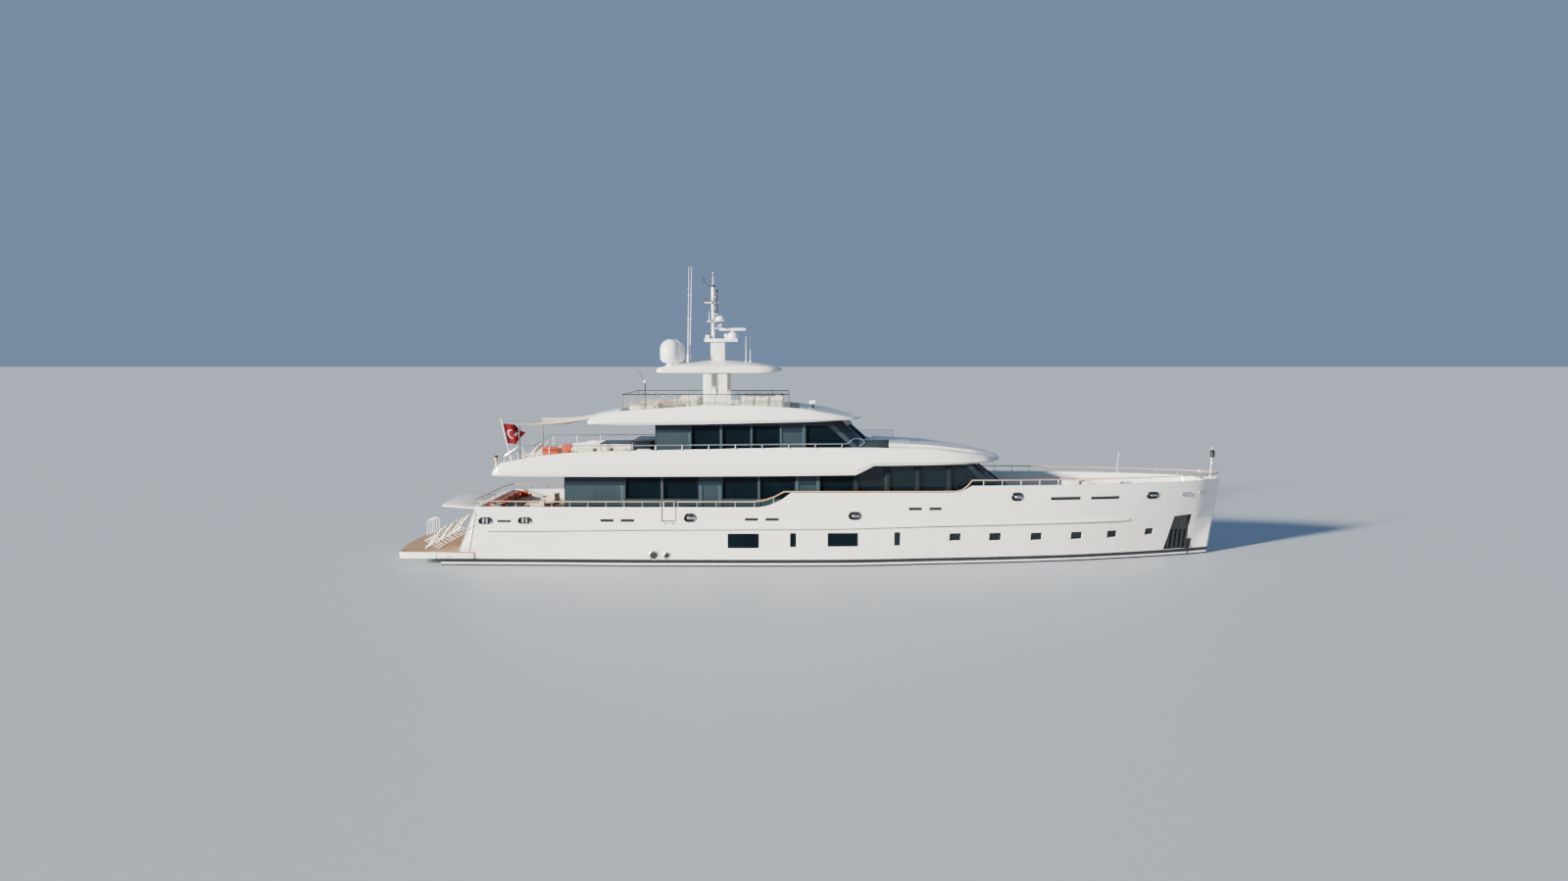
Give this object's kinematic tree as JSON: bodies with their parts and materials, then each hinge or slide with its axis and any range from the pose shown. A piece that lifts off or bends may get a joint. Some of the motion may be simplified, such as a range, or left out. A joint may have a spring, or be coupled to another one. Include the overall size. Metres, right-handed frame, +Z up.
{
  "type": "motor yacht, 1:2 scale model",
  "caption": "Three-deck displacement motor yacht at half size: white hull and deck bands, dark glazed houses, hardtop with mast, swim platform and open transom door.",
  "frame": {"origin": "on the centre line at the waterline, below the forward saloon, where the picture's middle column crosses the yacht", "axes": "+X to the bow, +Y to port, +Z up"},
  "size_m": [23.425, 4.4582, 9.61],
  "materials": {
    "hull_white": "gloss",
    "deck_white": "gloss",
    "house_wall": "satin",
    "dark_glass": "clear, dark tint",
    "rail_glass": "clear",
    "teak": "oiled",
    "stainless": "polished",
    "bronze": "cast",
    "antifouling": "matt bottom paint",
    "engine_grey": "painted",
    "mast_white": "gloss",
    "dome_white": "gloss",
    "beige_canvas": "woven",
    "beige_cushion": "woven",
    "orange_cushion": "woven",
    "flag_red": "woven"
  },
  "bodies": {
    "yacht": {"hull": "hull_white", "forepeak": "hull_white", "transom": "hull_white", "main_deck": "deck_white", "foredeck": "deck_white", "bulwark_port": "hull_white", "bulwark_starboard": "hull_white", "swim_platform": "hull_white", "cap_rail_stern": "teak", "cap_rail_aft_port": "teak", "cap_rail_aft_starboard": "teak", "cap_rail_forward": "teak", "main_house": "house_wall", "main_glazing": "dark_glass", "upper_deck": "deck_white", "upper_house": "house_wall", "upper_glazing": "dark_glass", "sun_deck": "deck_white", "sun_deck_screen": "rail_glass", "sunpad": "beige_cushion", "sun_sofa_aft": "beige_cushion", "sun_sofa_forward": "beige_cushion", "hardtop": "deck_white", "mast": "mast_white", "awning": "beige_canvas", "flagstaff": "mast_white", "flag": "flag_red", "aft_sofa": "orange_cushion", "upper_sofa": "orange_cushion", "windlass": "stainless", "jackstaff": "mast_white", "whip_port": "dome_white", "engine_port": "engine_grey", "shaft_port": "stainless", "hardtop_leg_port": "mast_white", "radome_port": "dome_white", "awning_pole_port": "stainless", "anchor_pocket_port": "stainless", "whip_starboard": "dome_white", "engine_starboard": "engine_grey", "shaft_starboard": "stainless", "hardtop_leg_starboard": "mast_white", "radome_starboard": "dome_white", "awning_pole_starboard": "stainless", "anchor_pocket_starboard": "stainless"},
    "transom_door": {"transom_door": "hull_white"},
    "radar_scanner": {"radar_scanner": "dome_white"},
    "propeller_port": {"propeller_port": "bronze"},
    "rudder_port": {"rudder_port": "antifouling"},
    "fin_port": {"fin_port": "antifouling"},
    "gate_port": {"gate_port": "hull_white"},
    "saloon_door_port": {"saloon_door_port": "dark_glass"},
    "upper_door_port": {"upper_door_port": "dark_glass"},
    "propeller_starboard": {"propeller_starboard": "bronze"},
    "rudder_starboard": {"rudder_starboard": "antifouling"},
    "fin_starboard": {"fin_starboard": "antifouling"},
    "gate_starboard": {"gate_starboard": "hull_white"},
    "saloon_door_starboard": {"saloon_door_starboard": "dark_glass"},
    "upper_door_starboard": {"upper_door_starboard": "dark_glass"}
  },
  "joints": [
    {"name": "transom_door_hinge", "type": "hinge", "parent": "yacht", "child": "transom_door", "pos_m": [-8.535, 0, 1.52], "axis": [0, -1, 0], "range_deg": [0, 72]},
    {"name": "radar_turn", "type": "hinge", "parent": "yacht", "child": "radar_scanner", "pos_m": [-1.475, 0, 6.415], "axis": [0, 0, 1], "continuous": true},
    {"name": "propeller_starboard_turn", "type": "hinge", "parent": "yacht", "child": "propeller_starboard", "pos_m": [-7.6, -0.75, -0.69], "axis": [1, 0, 0], "continuous": true},
    {"name": "rudder_starboard_steer", "type": "hinge", "parent": "yacht", "child": "rudder_starboard", "pos_m": [-8.475, -0.75, -0.25], "axis": [0, 0, 1], "range_deg": [-35, 35]},
    {"name": "fin_starboard_tilt", "type": "hinge", "parent": "yacht", "child": "fin_starboard", "pos_m": [1.35, -1.775, -0.875], "axis": [0, -0.7431, -0.6691], "range_deg": [-20, 20]},
    {"name": "gate_starboard_swing", "type": "hinge", "parent": "yacht", "child": "gate_starboard", "pos_m": [-2.96, -2.02, 1.5], "axis": [0, 0, -1], "range_deg": [0, 90]},
    {"name": "saloon_door_starboard_slide", "type": "slide", "parent": "yacht", "child": "saloon_door_starboard", "axis": [0, -1, 0], "range_m": [0, 0.69]},
    {"name": "upper_door_starboard_slide", "type": "slide", "parent": "yacht", "child": "upper_door_starboard", "axis": [0, -1, 0], "range_m": [0, 0.64]},
    {"name": "propeller_port_turn", "type": "hinge", "parent": "yacht", "child": "propeller_port", "pos_m": [-7.6, 0.75, -0.69], "axis": [1, 0, 0], "continuous": true},
    {"name": "rudder_port_steer", "type": "hinge", "parent": "yacht", "child": "rudder_port", "pos_m": [-8.475, 0.75, -0.25], "axis": [0, 0, 1], "range_deg": [-35, 35]},
    {"name": "fin_port_tilt", "type": "hinge", "parent": "yacht", "child": "fin_port", "pos_m": [1.35, 1.775, -0.875], "axis": [0, 0.7431, -0.6691], "range_deg": [-20, 20]},
    {"name": "gate_port_swing", "type": "hinge", "parent": "yacht", "child": "gate_port", "pos_m": [-2.96, 2.02, 1.5], "axis": [0, 0, 1], "range_deg": [0, 90]},
    {"name": "saloon_door_port_slide", "type": "slide", "parent": "yacht", "child": "saloon_door_port", "axis": [0, 1, 0], "range_m": [0, 0.69]},
    {"name": "upper_door_port_slide", "type": "slide", "parent": "yacht", "child": "upper_door_port", "axis": [0, 1, 0], "range_m": [0, 0.64]}
  ],
  "couplings": [
    {"joint": "rudder_port_steer", "follows": "rudder_starboard_steer", "ratio": 1}
  ]
}
